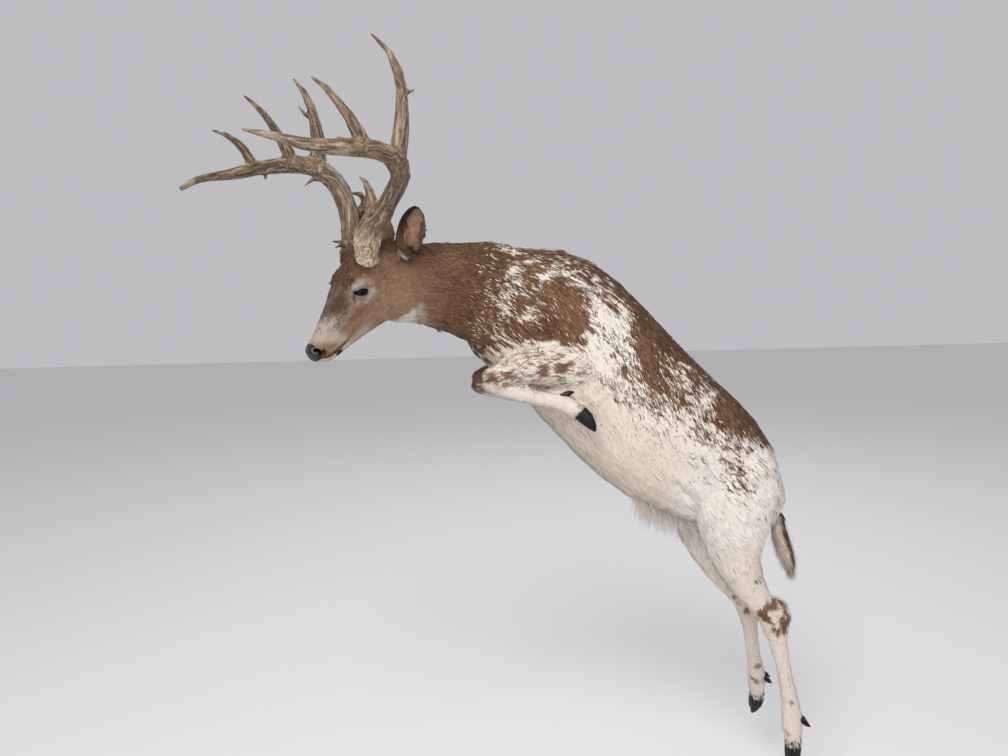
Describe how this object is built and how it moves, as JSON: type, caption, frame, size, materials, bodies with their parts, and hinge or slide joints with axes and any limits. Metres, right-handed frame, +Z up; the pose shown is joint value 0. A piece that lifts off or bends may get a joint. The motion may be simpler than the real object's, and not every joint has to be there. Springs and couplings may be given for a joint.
{
  "type": "leaping whitetail buck full-body wall mount",
  "caption": "Life-size leaping whitetail buck with a brown and white coat and branching antlers, mounted whole on a wall by its far side.",
  "frame": {"origin": "centre of the hanger plate's back face, where it meets the wall", "axes": "+Z up; +Y into the wall, so the animal is at -Y; +X towards the tail, so the head is at -X and the left side faces -Y"},
  "size_m": [1.5831, 0.7052, 1.9298],
  "materials": {
    "coat_brown": "matte, haired",
    "coat_pied": "matte, haired",
    "coat_cream": "matte, haired",
    "antler": "satin, grooved",
    "eye": "gloss",
    "hoof": "satin horn",
    "steel": "satin",
    "block": "sawn"
  },
  "bodies": {
    "root": {"antler_left_beam_lower": "antler", "antler_left_beam_mid": "antler", "antler_left_beam_tip": "antler", "antler_left_tine_brow": "antler", "antler_left_tine_g2": "antler", "antler_left_tine_g3": "antler", "antler_right_beam_fore": "antler", "antler_right_beam_lower": "antler", "antler_right_beam_mid": "antler", "antler_right_beam_tip": "antler", "antler_right_tine_brow": "antler", "antler_right_tine_g2": "antler", "antler_right_tine_g3": "antler", "antler_right_tine_g4": "antler", "dewclaw_fore_left_inner": "hoof", "dewclaw_fore_left_outer": "hoof", "dewclaw_fore_right_inner": "hoof", "dewclaw_fore_right_outer": "hoof", "dewclaw_hind_left_inner": "hoof", "dewclaw_hind_left_outer": "hoof", "dewclaw_hind_right_inner": "hoof", "dewclaw_hind_right_outer": "hoof", "ear_left": "coat_brown", "ear_right": "coat_brown", "eye_left": "eye", "eye_right": "eye", "hanger_block": "block", "hanger_plate": "steel", "hanger_screw_bottom_left": "steel", "hanger_screw_bottom_right": "steel", "hanger_screw_top_left": "steel", "hanger_screw_top_right": "steel", "head": "coat_brown", "hoof_fore_left_inner": "hoof", "hoof_fore_left_outer": "hoof", "hoof_fore_right_inner": "hoof", "hoof_fore_right_outer": "hoof", "hoof_hind_left_inner": "hoof", "hoof_hind_left_outer": "hoof", "hoof_hind_right_inner": "hoof", "hoof_hind_right_outer": "hoof", "leg_fore_left_lower": "coat_cream", "leg_fore_left_upper": "coat_cream", "leg_fore_right_lower": "coat_cream", "leg_fore_right_upper": "coat_cream", "leg_hind_left_lower": "coat_cream", "leg_hind_left_upper": "coat_cream", "leg_hind_right_lower": "coat_cream", "leg_hind_right_upper": "coat_cream", "neck": "coat_brown", "tail": "coat_cream", "trunk": "coat_pied"}
  },
  "joints": []
}
